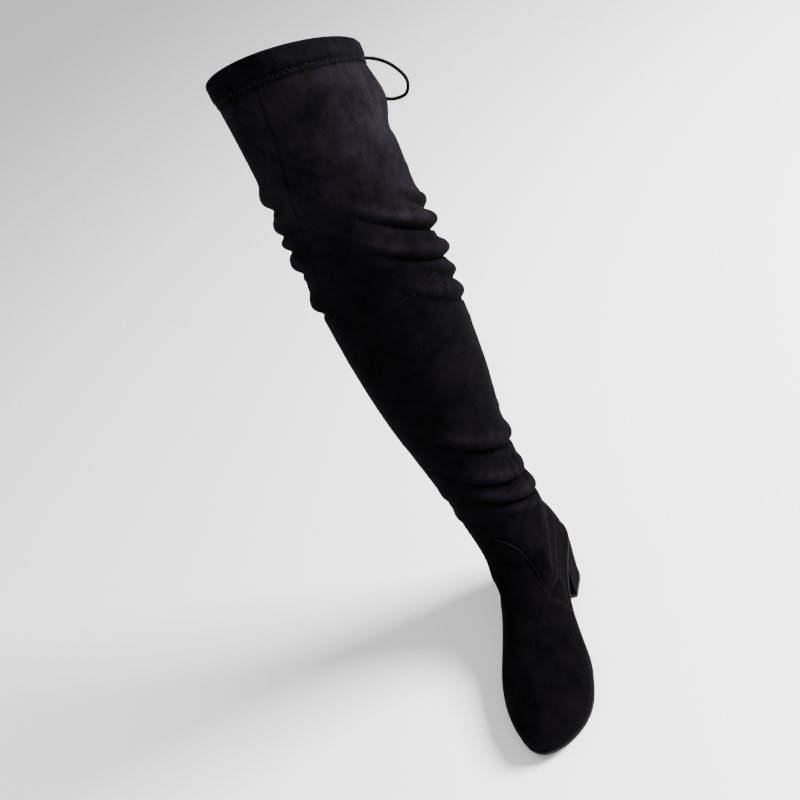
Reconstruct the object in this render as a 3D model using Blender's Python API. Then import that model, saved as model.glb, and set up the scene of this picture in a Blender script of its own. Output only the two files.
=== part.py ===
"""Thigh high boot, the right one of a pair: stretch faux suede, block heel, tie at the back of the cuff.

Metres, +Z up. The toe points to -Y and the wearer's inner (medial) side is +X.
The origin is at the centre of the ground face of the heel's top piece.
Turn angles run round the boot from the front centre (0) over the medial side (90 degrees).
"""
import math

import bmesh
import bpy
import numpy as np

# Foot and sole
SOLE_LENGTH = 0.238
SEAT_REACH = 0.038
BALL_WIDTH = 0.084
TOE_SPRING = 0.011
SEAT_HEIGHT = 0.060
OUTSOLE_THICKNESS = 0.005
SEAT_THICKNESS = 0.0035
SOLE_REVEAL = 0.0018
SEAT_REVEAL = 0.0008
EDGE_BEVEL = 0.0010
INSOLE_THICKNESS = 0.003

# Heel
TOP_PIECE_THICKNESS = 0.005
HEEL_BREAST_STATION = 0.735
HEEL_BASE_LENGTH = 0.048
HEEL_BASE_WIDTH = 0.050
HEEL_TOP_INSET = 0.0006
TOP_PIECE_BEVEL = 0.0007

# Upper
INSTEP_RISE = 0.116
COUNTER_RISE = 0.100
RIM_HEIGHT = 0.640
RIM_DROP = 0.058
SHAFT_DEPTH = 0.120
SHAFT_WIDTH = 0.113
CUFF_DEPTH = 0.018
KNEE_SEAM_HEIGHT = 0.433
WALL = 0.0018
VAMP_LIFT = 0.0009
CUFF_LIFT = 0.0010
GAP = 0.0003
FOLD_DEPTH = 0.0046
SHIN_SLOPE = 4.0

# Tie
CORD = 0.003
KNOT_SIZE = (0.0125, 0.0095, 0.0100)
LEAD_SPREAD = 0.030
CORD_POINT_SPACING = 0.0088

# How finely the forms are divided
SOLE_STATIONS = 40
VAMP_COLUMNS = 30
SHAFT_COLUMNS = 30

# Plan of the last.
# Columns: share of the sole's length from the toe, centre line and fullness as shares of the ball width
PLAN = (
    (0.00, -0.010, 0.520),
    (0.03, -0.004, 0.545),
    (0.08, 0.000, 0.568),
    (0.15, 0.002, 0.585),
    (0.23, -0.006, 0.576),
    (0.31, -0.024, 0.540),
    (0.40, -0.038, 0.492),
    (0.50, -0.058, 0.424),
    (0.60, -0.060, 0.378),
    (0.70, -0.040, 0.382),
    (0.80, -0.014, 0.434),
    (0.88, 0.000, 0.530),
    (0.95, 0.000, 0.630),
    (1.00, 0.000, 0.700),
)

# Underside of the sole behind the ball. Columns: share of the length, share of the seat's height
ARCH = (
    (0.36, 0.000),
    (0.42, 0.035),
    (0.50, 0.200),
    (0.58, 0.430),
    (0.66, 0.650),
    (0.74, 0.810),
    (0.82, 0.905),
    (0.90, 0.960),
    (1.00, 1.000),
)
TREAD_STARTS = 0.20

# Rows of the foot, each a ring from a point on the vamp line to a point on the heel line.
# Columns: front station (share of sole length), front rise (share of INSTEP_RISE), back reach beyond the
# seat (share of BALL_WIDTH), back rise (share of COUNTER_RISE), half width (share of BALL_WIDTH),
# how far the ring has turned from the last's form (0) to a plain oval (1)
FOOT = (
    (0.000, 0.000, 0.000, 0.00, 0.36, 0.00),
    (0.001, 0.070, 0.020, 0.07, 0.36, 0.00),
    (0.016, 0.155, 0.030, 0.15, 0.36, 0.00),
    (0.066, 0.256, 0.033, 0.23, 0.36, 0.00),
    (0.147, 0.342, 0.026, 0.30, 0.37, 0.00),
    (0.231, 0.392, 0.012, 0.37, 0.37, 0.00),
    (0.315, 0.440, -0.008, 0.44, 0.38, 0.04),
    (0.399, 0.500, -0.028, 0.51, 0.40, 0.16),
    (0.470, 0.530, -0.044, 0.58, 0.42, 0.40),
    (0.530, 0.560, -0.052, 0.65, 0.44, 0.68),
    (0.576, 0.615, -0.052, 0.73, 0.455, 0.88),
    (0.601, 0.720, -0.046, 0.81, 0.465, 0.97),
    (0.613, 0.850, -0.038, 0.90, 0.472, 1.00),
    (0.617, 1.000, -0.030, 1.00, 0.476, 1.00),
)

# Rows of the leg. Columns: share of the height from the ankle ring to the rim, front and back reach from
# the heel's centre (shares of SHAFT_DEPTH), half width (share of SHAFT_WIDTH)
LEG = (
    (0.06, -0.442, 0.304, 0.350),
    (0.12, -0.456, 0.320, 0.366),
    (0.20, -0.474, 0.352, 0.400),
    (0.30, -0.496, 0.404, 0.454),
    (0.40, -0.508, 0.426, 0.482),
    (0.50, -0.512, 0.430, 0.494),
    (0.58, -0.512, 0.422, 0.492),
    (0.68, -0.508, 0.412, 0.484),
    (0.78, -0.502, 0.410, 0.472),
    (0.90, -0.500, 0.416, 0.464),
    (1.00, -0.504, 0.420, 0.465),
)

# Gentle bow of the leg. Columns: share of RIM_HEIGHT, shift to the medial side (share of SHAFT_WIDTH)
BOW = (
    (0.00, 0.000),
    (0.08, 0.000),
    (0.10, -0.004),
    (0.14, -0.040),
    (0.18, -0.078),
    (0.25, -0.112),
    (0.33, -0.120),
    (0.41, -0.116),
    (0.56, -0.080),
    (0.72, -0.012),
    (0.86, 0.068),
    (1.00, 0.130),
)

# Seam between vamp and shaft. Columns: ring number, share of the sole's length
SEAM = (
    (0.0, 0.556),
    (2.3, 0.560),
    (5.3, 0.547),
    (8.5, 0.566),
    (10.2, 0.607),
    (11.4, 0.622),
    (12.1, 0.6205),
    (12.8, 0.6165),
)

# Main folds. Columns: height at the middle (share of RIM_HEIGHT), turn of the middle and reach to each
# side in degrees, rise along the reach and bow of the line (shares of RIM_HEIGHT), half breadth (share of
# RIM_HEIGHT), depth (share of FOLD_DEPTH)
FOLDS = (
    (0.739, 120, 60, -0.052, 0.023, 0.0115, 0.80),
    (0.722, 105, 88, -0.072, 0.032, 0.0125, 1.15),
    (0.684, 100, 85, -0.067, 0.030, 0.0125, 1.15),
    (0.641, 110, 58, -0.055, 0.025, 0.0110, 0.75),
    (0.617, 100, 72, -0.065, 0.029, 0.0115, 0.75),
    (0.836, 287, 52, 0.024, 0.000, 0.0105, 0.85),
    (0.798, 286, 54, 0.028, 0.000, 0.0100, 0.85),
    (0.774, 284, 50, 0.028, 0.000, 0.0090, 0.80),
    (0.744, 284, 54, 0.030, 0.000, 0.0105, 0.90),
    (0.682, 286, 54, 0.034, 0.000, 0.0110, 0.90),
    (0.748, 210, 46, 0.010, 0.012, 0.0115, 0.75),
    (0.712, 218, 44, 0.016, 0.010, 0.0110, 0.70),
    (0.664, 214, 48, 0.012, 0.010, 0.0115, 0.80),
    (0.622, 222, 50, 0.018, 0.010, 0.0110, 0.70),
    (0.394, 70, 95, -0.091, 0.027, 0.0135, 1.10),
    (0.326, 65, 85, -0.073, 0.022, 0.0120, 1.10),
    (0.281, 65, 85, -0.073, 0.022, 0.0110, 1.00),
    (0.256, 60, 45, -0.034, 0.000, 0.0095, 0.50),
    (0.336, 215, 70, 0.024, 0.016, 0.0130, 0.90),
    (0.290, 205, 75, 0.012, 0.014, 0.0130, 1.00),
    (0.246, 215, 75, 0.020, 0.014, 0.0120, 0.95),
    (0.312, 300, 55, 0.030, 0.000, 0.0115, 0.30),
    (0.262, 305, 50, 0.026, 0.000, 0.0110, 0.28),
    (0.208, 160, 60, 0.012, 0.000, 0.0110, 0.60),
    (0.878, 118, 24, 0.000, 0.000, 0.0220, 0.90),
)

# Routes of the tie's cords from the knot's centre, in metres
LOOP_ROUTE = (
    (0.0067, 0.0016, 0.0019), (0.0150, 0.0040, 0.0036), (0.0280, 0.0075, 0.0020), (0.0400, 0.0100, -0.0050),
    (0.0490, 0.0110, -0.0160), (0.0525, 0.0110, -0.0280), (0.0480, 0.0105, -0.0360), (0.0375, 0.0095, -0.0365),
    (0.0250, 0.0080, -0.0280), (0.0140, 0.0048, -0.0135), (0.0067, 0.0016, -0.0022),
)
TAIL_ROUTE = (
    (0.0019, 0.0010, -0.0054), (0.0042, 0.0022, -0.0180), (0.0066, 0.0014, -0.0380), (0.0078, -0.0006, -0.0600),
    (0.0084, -0.0014, -0.0830), (0.0092, -0.0012, -0.1120),
)
LEAD_BEHIND_KNOT = -0.0022

SUEDE = ("Faux suede", (0.013, 0.012, 0.016), 0.95)
SUEDE_FOLDED = ("Folded faux suede", (0.016, 0.015, 0.019), 0.95)
RUBBER = ("Rubber", (0.030, 0.029, 0.031), 0.60)
HARD_RUBBER = ("Hard rubber", (0.028, 0.020, 0.016), 0.50)
SOCK = ("Microfibre sock", (0.020, 0.020, 0.022), 0.85)
TIE = ("Suede cord", (0.016, 0.015, 0.019), 0.90)


def smooth_curve(table):
    """Function that gives a table's other columns at a value of its first, by a cubic through the rows."""
    table = np.array(table)
    keys, values = table[:, 0], table[:, 1:]
    slopes = np.gradient(values, keys, axis=0)

    def columns_at(x):
        x = min(max(x, keys[0]), keys[-1])
        i = int(min(max(np.searchsorted(keys, x) - 1, 0), len(keys) - 2))
        span = keys[i + 1] - keys[i]
        t = (x - keys[i]) / span
        start = (2 * t**3 - 3 * t**2 + 1) * values[i] + (t**3 - 2 * t**2 + t) * span * slopes[i]
        end = (3 * t**2 - 2 * t**3) * values[i + 1] + (t**3 - t**2) * span * slopes[i + 1]
        return start + end

    return columns_at


def ease(x):
    """Smooth step from 0 to 1."""
    x = min(max(x, 0.0), 1.0)
    return x * x * (3 - 2 * x)


def mix(a, b, share):
    return a + (b - a) * share


# The sole's own lines

plan_columns = smooth_curve(PLAN)
arch_height = smooth_curve(ARCH)
bow_shift = smooth_curve(BOW)
seam_columns = smooth_curve(SEAM)


def station_y(share):
    return SEAT_REACH - SOLE_LENGTH * (1 - share)


def station_of(y):
    return 1 - (SEAT_REACH - y) / SOLE_LENGTH


def underside(share):
    """Height of the outsole's underside: toe spring, flat tread, arch and seat."""
    if share < TREAD_STARTS:
        return TOE_SPRING * (1 - max(share, 0.0) / TREAD_STARTS) ** 1.8
    if share <= ARCH[0][0]:
        return 0.0
    return SEAT_HEIGHT * max(arch_height(share)[0], 0.0)


def outsole_top(share):
    return underside(share) + mix(OUTSOLE_THICKNESS, SEAT_THICKNESS, ease((share - 0.45) / 0.25))


def feather(share):
    """Height of the upper's lower edge."""
    return outsole_top(share) + GAP


def plan(share):
    """Centre line and half width of the last at a station."""
    centre, fullness = plan_columns(share)
    round_end = 2 * math.sqrt(max(share * (1 - share), 0.0))
    return centre * BALL_WIDTH, fullness * BALL_WIDTH * round_end


# The upper's own function

FOOT_TOP = len(FOOT) - 1
ROWS = len(FOOT) + len(LEG) - 1
VAMP_ENDS = FOOT[-1][0]
vamp_height = smooth_curve([(row[0], feather(row[0]) + row[1] * INSTEP_RISE) for row in FOOT[1:]])


def ring_rows():
    """One row for each ring: front y and z, back y and z, half width, and turn to a plain oval."""
    rows = []
    for front, front_rise, back, back_rise, width, oval in FOOT:
        front_z = feather(front) + front_rise * INSTEP_RISE
        back_z = feather(1.0) + back_rise * COUNTER_RISE
        rows.append((station_y(front), front_z, SEAT_REACH + back * BALL_WIDTH, back_z, width * BALL_WIDTH, oval))
    ankle_front, ankle_back = rows[-1][1], rows[-1][3]
    for height, front, back, width in LEG:
        front_z = mix(ankle_front, RIM_HEIGHT, height)
        back_z = mix(ankle_back, RIM_HEIGHT, height) - RIM_DROP * height**3
        rows.append((front * SHAFT_DEPTH, front_z, back * SHAFT_DEPTH, back_z, width * SHAFT_WIDTH, 1.0))
    return [(i,) + row for i, row in enumerate(rows)]


ring_columns = smooth_curve(ring_rows())


def ring_at_height(height, column=1):
    """Ring number whose front point (column 1) or back point (column 3) lies at a height."""
    low, high = float(FOOT_TOP) - 4, float(ROWS)
    for _ in range(40):
        middle = (low + high) / 2
        if ring_columns(middle)[column] < height:
            low = middle
        else:
            high = middle
    return (low + high) / 2


def section(height_share):
    """Half width of the last's cross-section at a share of its height, as a share of the plan's."""
    v = min(max(height_share, 0.0), 1.0)
    return (0.955 + 0.095 * math.sin(math.pi * v**0.6)) * (1 - v**2.7) ** 0.46


def bare_skin(ring, turn):
    """Point of the outer face without folds. The ring number is 0 at the sole and ROWS at the rim."""
    front_y, front_z, back_y, back_z, width, oval = ring_columns(ring)
    oval = min(max(oval, 0.0), 1.0)
    along = (1 - math.cos(turn)) / 2
    front = max(station_of(front_y), 0.0)
    share = mix(front, 1.0, along)
    low_front, low_back = feather(front), feather(1.0)
    rise = mix(front_z - low_front, back_z - low_back, along)
    straight = ease(ring / 8)
    z = mix(feather(share) + rise, mix(front_z, back_z, along), straight)
    y = mix(front_y, back_y, along)
    across = math.sin(turn)
    bow = bow_shift(z / RIM_HEIGHT)[0] * SHAFT_WIDTH
    if abs(across) < 1e-9:
        return np.array((plan(share)[0] * (1 - oval) + bow, y, z))
    centre, half = plan(share)
    ridge = vamp_height(share)[0] + max(share - VAMP_ENDS, 0.0) * SHIN_SLOPE
    ridge += (front_z - vamp_height(front)[0]) * (1 - along) ** 6
    last_half = half * section((z - feather(share)) / max(ridge - feather(share), 1e-6))
    half_width = mix(last_half, width * abs(across), oval)
    return np.array((centre * (1 - oval) + math.copysign(half_width, across) + bow, y, z))


def fold_relief(height, turn):
    """How far the folds push the skin out at a height and turn."""
    total = 0.0
    degrees = math.degrees(turn) % 360
    for middle, at, reach, rise, bend, breadth, depth in FOLDS:
        aside = ((degrees - at + 180) % 360 - 180) / reach
        if abs(aside) >= 1:
            continue
        fade = math.cos(math.pi / 2 * aside) ** 1.5
        line = (middle + rise * aside + bend * aside * aside) * RIM_HEIGHT
        away = (height - line) / (breadth * RIM_HEIGHT)
        total += depth * FOLD_DEPTH * fade * math.exp(-away * away)
    return total


def skin(ring, turn, lift):
    """Point of the boot's surface with its folds, lifted off the outer face along the normal."""
    point = bare_skin(ring, turn)
    step_ring = min(ring + 0.05, ROWS), max(ring - 0.05, 0)
    up = bare_skin(step_ring[0], turn) - bare_skin(step_ring[1], turn)
    round_about = bare_skin(ring, turn + 0.03) - bare_skin(ring, turn - 0.03)
    normal = np.cross(round_about, up)
    if ring <= 0:
        normal[2] = 0.0
    lifted = point + normal / np.linalg.norm(normal) * (lift + fold_relief(point[2], turn))
    if ring <= 0:
        lifted[2] = feather(station_of(lifted[1]))
    return lifted


# Seams, as ring numbers and turns

def seam_turn(ring, clearance=0.0):
    """Turn at which the vamp seam crosses a ring, 0 above its top.

    The clearance is taken backwards at the sole and along the steep shin at the throat.
    """
    front_y, _, back_y = ring_columns(ring)[:3]
    backwards = clearance * mix(1.0, 0.08, ease((ring - 9) / 3.5))
    share = (station_y(seam_columns(ring)[0]) + backwards - front_y) / (back_y - front_y)
    if share <= 0:
        return 0.0
    return math.acos(1 - 2 * share)


def seam_top(clearance=0.0):
    """Ring number at which the vamp seam crosses the front centre."""
    low, high = 5.0, float(FOOT_TOP)
    for _ in range(40):
        middle = (low + high) / 2
        if seam_turn(middle, clearance) > 0:
            low = middle
        else:
            high = middle
    return high


def rings_between(start, end, count):
    return [mix(start, end, i / count) for i in range(count + 1)]


def rows_along_seam():
    """Rows that vamp and shaft share, so that their edges run alongside."""
    top = seam_top()
    return rings_between(0.0, 8.0, 10) + rings_between(8.0, top - 0.35, 4)[1:] + [top - 0.15, top - 0.04]


# Solids

def material(kind):
    name, colour, roughness = kind
    made = bpy.data.materials.get(name)
    if made is None:
        made = bpy.data.materials.new(name)
        made.use_nodes = True
        shader = made.node_tree.nodes["Principled BSDF"]
        shader.inputs["Base Color"].default_value = (*colour, 1)
        shader.inputs["Roughness"].default_value = roughness
        shader.inputs["Metallic"].default_value = 0.0
    return made


def add_object(name, data, kind):
    item = bpy.data.objects.new(name, data)
    data.materials.append(material(kind))
    bpy.context.scene.collection.objects.link(item)
    return item


def add_mesh(name, points, faces, kind):
    """Object from points and faces, with doubled points joined and its faces pointing out."""
    shape = bmesh.new()
    corners = [shape.verts.new(p) for p in points]
    for face in faces:
        shape.faces.new([corners[i] for i in face])
    bmesh.ops.remove_doubles(shape, verts=shape.verts, dist=1e-6)
    bmesh.ops.recalc_face_normals(shape, faces=shape.faces)
    data = bpy.data.meshes.new(name)
    shape.to_mesh(data)
    shape.free()
    data.shade_smooth()
    data.set_sharp_from_angle(angle=math.radians(40))
    return add_object(name, data, kind)


def stacked_solid(name, levels, kind):
    """Solid from levels, bottom first. A level holds as many medial points as lateral ones."""
    points = []
    for medial, lateral in levels:
        points += list(medial) + list(lateral)
    n = len(levels[0][0])
    faces = []
    for i in range(n - 1):
        top = (len(levels) - 1) * 2 * n
        faces.append((i, i + 1, n + i + 1, n + i))
        faces.append((top + i, top + n + i, top + n + i + 1, top + i + 1))
    for level in range(len(levels) - 1):
        a, b = level * 2 * n, (level + 1) * 2 * n
        for i in range(n - 1):
            faces.append((a + i, b + i, b + i + 1, a + i + 1))
            faces.append((a + n + i, a + n + i + 1, b + n + i + 1, b + n + i))
        faces.append((a, a + n, b + n, b))
        faces.append((a + n - 1, b + n - 1, b + 2 * n - 1, a + 2 * n - 1))
    ends = [f for f in faces if len({tuple(np.round(points[i], 7)) for i in f}) > 2]
    return add_mesh(name, points, ends, kind)


def shell_solid(name, rows, turns_at, outer_lifts, inner_lifts, kind):
    """Hollow panel between two lifted skins. Rows whose turns go right round are closed."""
    turns = [turns_at(ring) for ring in rows]
    closed = [abs(t[-1] - t[0] - 2 * math.pi) < 1e-6 for t in turns]
    n = len(turns[0])
    outer, inner = [], []
    for ring, row, lift_out, lift_in in zip(rows, turns, outer_lifts, inner_lifts):
        outer += [skin(ring, turn, lift_out) for turn in row]
        inner += [skin(ring, turn, lift_in) for turn in row]
    points = outer + inner
    back = len(outer)
    faces = []
    for i in range(len(rows) - 1):
        for j in range(n - 1):
            a, b = i * n + j, (i + 1) * n + j
            faces.append((a, a + 1, b + 1, b))
            faces.append((back + a, back + b, back + b + 1, back + a + 1))
        if not (closed[i] and closed[i + 1]):
            for j in (0, n - 1):
                a, b = i * n + j, (i + 1) * n + j
                faces.append((a, b, back + b, back + a))
    for i in (0, len(rows) - 1):
        for j in range(n - 1):
            a = i * n + j
            faces.append((a, a + 1, back + a + 1, back + a))
    return add_mesh(name, points, faces, kind)


def outline(stations, reach_of):
    """Medial and lateral points of the last's plan, moved out by a reach, at the sole's stations."""
    sides = []
    for side in (1, -1):
        points = []
        for share in stations:
            ahead, behind = min(share + 0.004, 1.0), max(share - 0.004, 0.0)
            if share in (stations[0], stations[-1]) and (share <= 0 or share >= 1):
                away = np.array((0.0, -1.0 if share <= 0 else 1.0))
            else:
                edge = [np.array((side * plan(s)[1] + plan(s)[0], station_y(s))) for s in (behind, ahead)]
                run = edge[1] - edge[0]
                away = side * np.array((run[1], -run[0]))
                away /= np.linalg.norm(away)
            centre, half = plan(share)
            points.append(np.array((centre + side * half, station_y(share))) + away * reach_of(share))
        sides.append(points)
    return sides


def on_height(side, height_of):
    """Plan points raised to a height that depends on their station."""
    return [(x, y, height_of(station_of(y))) for x, y in side]


def cosine_stations(count):
    """Stations from toe to heel, closer together at the round ends, with the tread's own edges."""
    shares = [(1 - math.cos(math.pi * i / count)) / 2 for i in range(count + 1)]
    for edge in (TREAD_STARTS, ARCH[0][0]):
        nearest = min(range(1, count), key=lambda i: abs(shares[i] - edge))
        shares[nearest] = edge
    return shares


# Sole, heel and insole

def make_outsole():
    stations = cosine_stations(SOLE_STATIONS)

    def reveal(share):
        return mix(SOLE_REVEAL, SEAT_REVEAL, ease((share - 0.45) / 0.25))

    levels = []
    for inset, height_of in (
        (EDGE_BEVEL, underside),
        (0.0, lambda s: underside(s) + EDGE_BEVEL),
        (0.0, lambda s: outsole_top(s) - EDGE_BEVEL / 2),
        (EDGE_BEVEL / 2, outsole_top),
    ):
        sides = outline(stations, lambda s, cut=inset: reveal(s) - cut)
        levels.append([on_height(side, height_of) for side in sides])
    return stacked_solid("outsole", levels, RUBBER)


def make_insole():
    stations = cosine_stations(SOLE_STATIONS)
    inset = WALL + 2 * GAP + 0.045 * BALL_WIDTH / 2
    sides = outline(stations, lambda s: -inset)
    levels = [[on_height(side, lambda s: feather(s)) for side in sides],
              [on_height(side, lambda s: feather(s) + INSOLE_THICKNESS) for side in sides]]
    return stacked_solid("insole", levels, SOCK)


def heel_plan(inset):
    """Plan of the heel at the seat, a D from the breast to the back."""
    stations = [s for s in cosine_stations(SOLE_STATIONS) if s > HEEL_BREAST_STATION + 0.01]
    return outline([HEEL_BREAST_STATION] + stations, lambda s: SEAT_REVEAL - inset)


def heel_level(down, inset=0.0):
    """Points of the heel at a share of the way from its seat (0) to its base (1)."""
    sides = heel_plan(HEEL_TOP_INSET)
    seat_front = sides[0][0][1]
    seat_back = sides[0][-1][1]
    widest = max(x for x, _ in sides[0]) - min(x for x, _ in sides[1])
    level = []
    for side, sign in zip(sides, (1, -1)):
        points = []
        for x, y in side:
            along = (y - seat_front) / (seat_back - seat_front)
            base_y = (HEEL_BASE_LENGTH - 2 * inset) * (along - 0.5)
            base_x = x * (HEEL_BASE_WIDTH - 2 * inset) / widest
            curve = ease(down) * 0.35 + down * 0.65
            points.append((mix(x, base_x, curve), mix(y, base_y, curve)))
        level.append(points)
    return level


def make_heel_block():
    base = TOP_PIECE_THICKNESS + GAP
    levels = []
    for down in (1.0, 0.8, 0.6, 0.4, 0.2, 0.0):
        sides = heel_level(down)
        seat = heel_plan(HEEL_TOP_INSET)
        level = []
        for side, seat_side in zip(sides, seat):
            level.append([(x, y, mix(underside(station_of(top[1])) - GAP, base, down))
                          for (x, y), top in zip(side, seat_side)])
        levels.append(level)
    return stacked_solid("heel_block", levels, SUEDE)


def make_top_piece():
    levels = []
    for z, inset in ((0.0, TOP_PIECE_BEVEL), (TOP_PIECE_BEVEL, 0.0), (TOP_PIECE_THICKNESS, 0.0)):
        levels.append([[(x, y, z) for x, y in side] for side in heel_level(1.0, inset)])
    return stacked_solid("heel_top_piece", levels, HARD_RUBBER)


# Upper panels

def make_vamp():
    rows = rows_along_seam()

    def turns(ring):
        edge = seam_turn(ring)
        return [mix(-edge, edge, j / VAMP_COLUMNS) for j in range(VAMP_COLUMNS + 1)]

    outer = [VAMP_LIFT] * len(rows)
    inner = [VAMP_LIFT - WALL - GAP] * len(rows)
    return shell_solid("vamp", rows, turns, outer, inner, SUEDE)


def make_shaft_lower():
    top = seam_top(GAP)
    knee = ring_at_height(KNEE_SEAM_HEIGHT - GAP / 2)
    shin, calf = mix(top, knee, 0.52), mix(top, knee, 0.78)
    rows = rows_along_seam() + rings_between(top, shin, 12) + rings_between(shin, calf, 3)[1:]
    rows += rings_between(calf, knee, 5)[1:]

    def turns(ring):
        edge = 0.0 if ring >= top - 1e-6 else seam_turn(ring, GAP)
        return [mix(edge, 2 * math.pi - edge, j / SHAFT_COLUMNS) for j in range(SHAFT_COLUMNS + 1)]

    return shell_solid("shaft_lower", rows, turns, [0.0] * len(rows), [-WALL] * len(rows), SUEDE)


def full_turns(_):
    return [2 * math.pi * j / SHAFT_COLUMNS for j in range(SHAFT_COLUMNS + 1)]


def make_shaft_upper():
    knee = ring_at_height(KNEE_SEAM_HEIGHT + GAP / 2)
    cuff = ring_at_height(RIM_HEIGHT - CUFF_DEPTH - GAP / 2)
    folded = ring_at_height(0.80 * RIM_HEIGHT)
    rows = rings_between(knee, folded, 10) + rings_between(folded, cuff, 5)[1:]
    return shell_solid("shaft_upper", rows, full_turns, [0.0] * len(rows), [-WALL] * len(rows), SUEDE)


def make_cuff():
    start = ring_at_height(RIM_HEIGHT - CUFF_DEPTH + GAP / 2)
    near_start = mix(start, ROWS, 0.10)
    near_rim = mix(start, ROWS, 0.90)
    rows = [start, near_start, mix(start, ROWS, 0.5), near_rim, ROWS]
    outer = [0.0, 0.8 * CUFF_LIFT, CUFF_LIFT, 0.9 * CUFF_LIFT, -0.2 * CUFF_LIFT]
    inner = [-WALL, -WALL, -WALL, -WALL, -0.8 * WALL]
    return shell_solid("cuff", rows, full_turns, outer, inner, SUEDE_FOLDED)


# Tie

def smooth_route(route, spacing):
    """Points at even spacing along a smooth curve through a route's own points."""
    route = np.array(route)
    reach = np.concatenate(([0.0], np.cumsum(np.linalg.norm(np.diff(route, axis=0), axis=1))))
    point_at = smooth_curve(np.column_stack((reach, route)))
    count = max(int(round(reach[-1] / spacing)), 2)
    return [point_at(reach[-1] * i / count) for i in range(count + 1)]


def make_cord(name, route):
    data = bpy.data.curves.new(name, "CURVE")
    data.dimensions = "3D"
    data.bevel_depth = CORD / 2
    data.bevel_resolution = 2
    data.use_fill_caps = True
    points = smooth_route(route, CORD_POINT_SPACING)
    line = data.splines.new("POLY")
    line.points.add(len(points) - 1)
    for target, point in zip(line.points, points):
        target.co = (*point, 1)
    return add_object(name, data, TIE)


def make_knot(centre):
    bpy.ops.mesh.primitive_uv_sphere_add(segments=14, ring_count=8, radius=0.5, location=centre)
    knot = bpy.context.object
    knot.name = "drawstring_knot"
    knot.data.name = "drawstring_knot"
    for corner in knot.data.vertices:
        for axis in range(3):
            corner.co[axis] *= KNOT_SIZE[axis]
    knot.data.materials.append(material(TIE))
    knot.data.shade_smooth()
    return knot


def make_tie():
    """Knot against the back of the cuff, its two leads out of the channel, two loops and two tails."""
    channel = mix(ring_at_height(RIM_HEIGHT - CUFF_DEPTH), ROWS, 0.30)
    back = skin(channel, math.pi, CUFF_LIFT)
    centre = (back[0], back[1] + KNOT_SIZE[1] / 2 + 2 * GAP, back[2])
    make_knot(centre)
    for side, name in ((1, "medial"), (-1, "lateral")):
        turn = math.pi - side * LEAD_SPREAD / SHAFT_WIDTH
        outlet = skin(channel, turn, CUFF_LIFT + CORD / 2 + 2 * GAP)
        inboard = (centre[0] + side * (KNOT_SIZE[0] / 2 + 2 * GAP), centre[1] + LEAD_BEHIND_KNOT, centre[2])
        between = (mix(inboard[0], outlet[0], 0.5), mix(inboard[1], outlet[1], 0.35), centre[2])
        make_cord(f"drawstring_lead_{name}", (inboard, between, tuple(outlet)))
        for kind, route in (("loop", LOOP_ROUTE), ("tail", TAIL_ROUTE)):
            placed = [(centre[0] + side * x, centre[1] + y, centre[2] + z) for x, y, z in route]
            make_cord(f"drawstring_{kind}_{name}", placed)


for old in list(bpy.data.objects):
    bpy.data.objects.remove(old)

make_outsole()
make_heel_block()
make_top_piece()
make_insole()
make_vamp()
make_shaft_lower()
make_shaft_upper()
make_cuff()
make_tie()
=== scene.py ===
"""Thigh high boot, the right one of a pair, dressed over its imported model.

Metres, +Z up. The toe points to -Y and the wearer's inner (medial) side is +X.
Turn angles run round the boot from the front centre (0) over the medial side (90 degrees).
"""
import math

import bpy
import numpy as np
from mathutils import Matrix, Vector, kdtree, noise


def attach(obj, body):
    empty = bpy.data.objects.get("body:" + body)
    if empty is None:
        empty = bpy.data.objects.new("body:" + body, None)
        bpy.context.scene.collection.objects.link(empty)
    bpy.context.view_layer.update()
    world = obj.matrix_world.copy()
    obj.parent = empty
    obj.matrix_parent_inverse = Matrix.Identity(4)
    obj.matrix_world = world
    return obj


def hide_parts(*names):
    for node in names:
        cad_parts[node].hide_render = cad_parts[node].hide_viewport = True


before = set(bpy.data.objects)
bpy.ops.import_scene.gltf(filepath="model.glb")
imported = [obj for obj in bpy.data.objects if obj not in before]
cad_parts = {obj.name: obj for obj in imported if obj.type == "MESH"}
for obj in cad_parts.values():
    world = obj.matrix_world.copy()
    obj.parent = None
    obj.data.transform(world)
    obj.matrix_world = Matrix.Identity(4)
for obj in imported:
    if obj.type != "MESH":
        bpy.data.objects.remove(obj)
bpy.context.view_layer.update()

MM = 0.001

# Camera, fitted to the boot's outline in the photograph of 800 x 800 pixels
CAMERA_AZIMUTH = 26.7
CAMERA_HEIGHT = 0.7597
CAMERA_REACH = 0.6342
CAMERA_YAW = 30.7
CAMERA_PITCH = 35.0
CAMERA_ROLL = -31.8
CAMERA_FOCUS_PIXELS = 872.6
PHOTO_PIXELS = 800
CAMERA_SENSOR = 36

# Foot and sole, as in the part
SOLE_LENGTH = 0.238
SEAT_REACH = 0.038
BALL_WIDTH = 0.084
TOE_SPRING = 0.011
TREAD_STARTS = 0.20
SEAT_HEIGHT = 0.060
OUTSOLE_THICKNESS = 0.005
SEAT_THICKNESS = 0.0035

# Upper, as in the part
INSTEP_RISE = 0.116
COUNTER_RISE = 0.100
RIM_HEIGHT = 0.640
RIM_DROP = 0.058
SHAFT_DEPTH = 0.120
SHAFT_WIDTH = 0.113
CUFF_DEPTH = 0.018
KNEE_SEAM_HEIGHT = 0.433
WALL = 0.0018
VAMP_LIFT = 0.0009
CUFF_LIFT = 0.0010
GAP = 0.0003
FOLD_DEPTH = 0.0046
SHIN_SLOPE = 4.0

# Tie, as in the part
CORD = 0.003
KNOT_SIZE = (0.0125, 0.0095, 0.0100)
LEAD_SPREAD = 0.030
LEAD_BEHIND_KNOT = -0.0022
CHANNEL_SHARE = 0.30
ROUTE_STEP = 1.6 * MM

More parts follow.
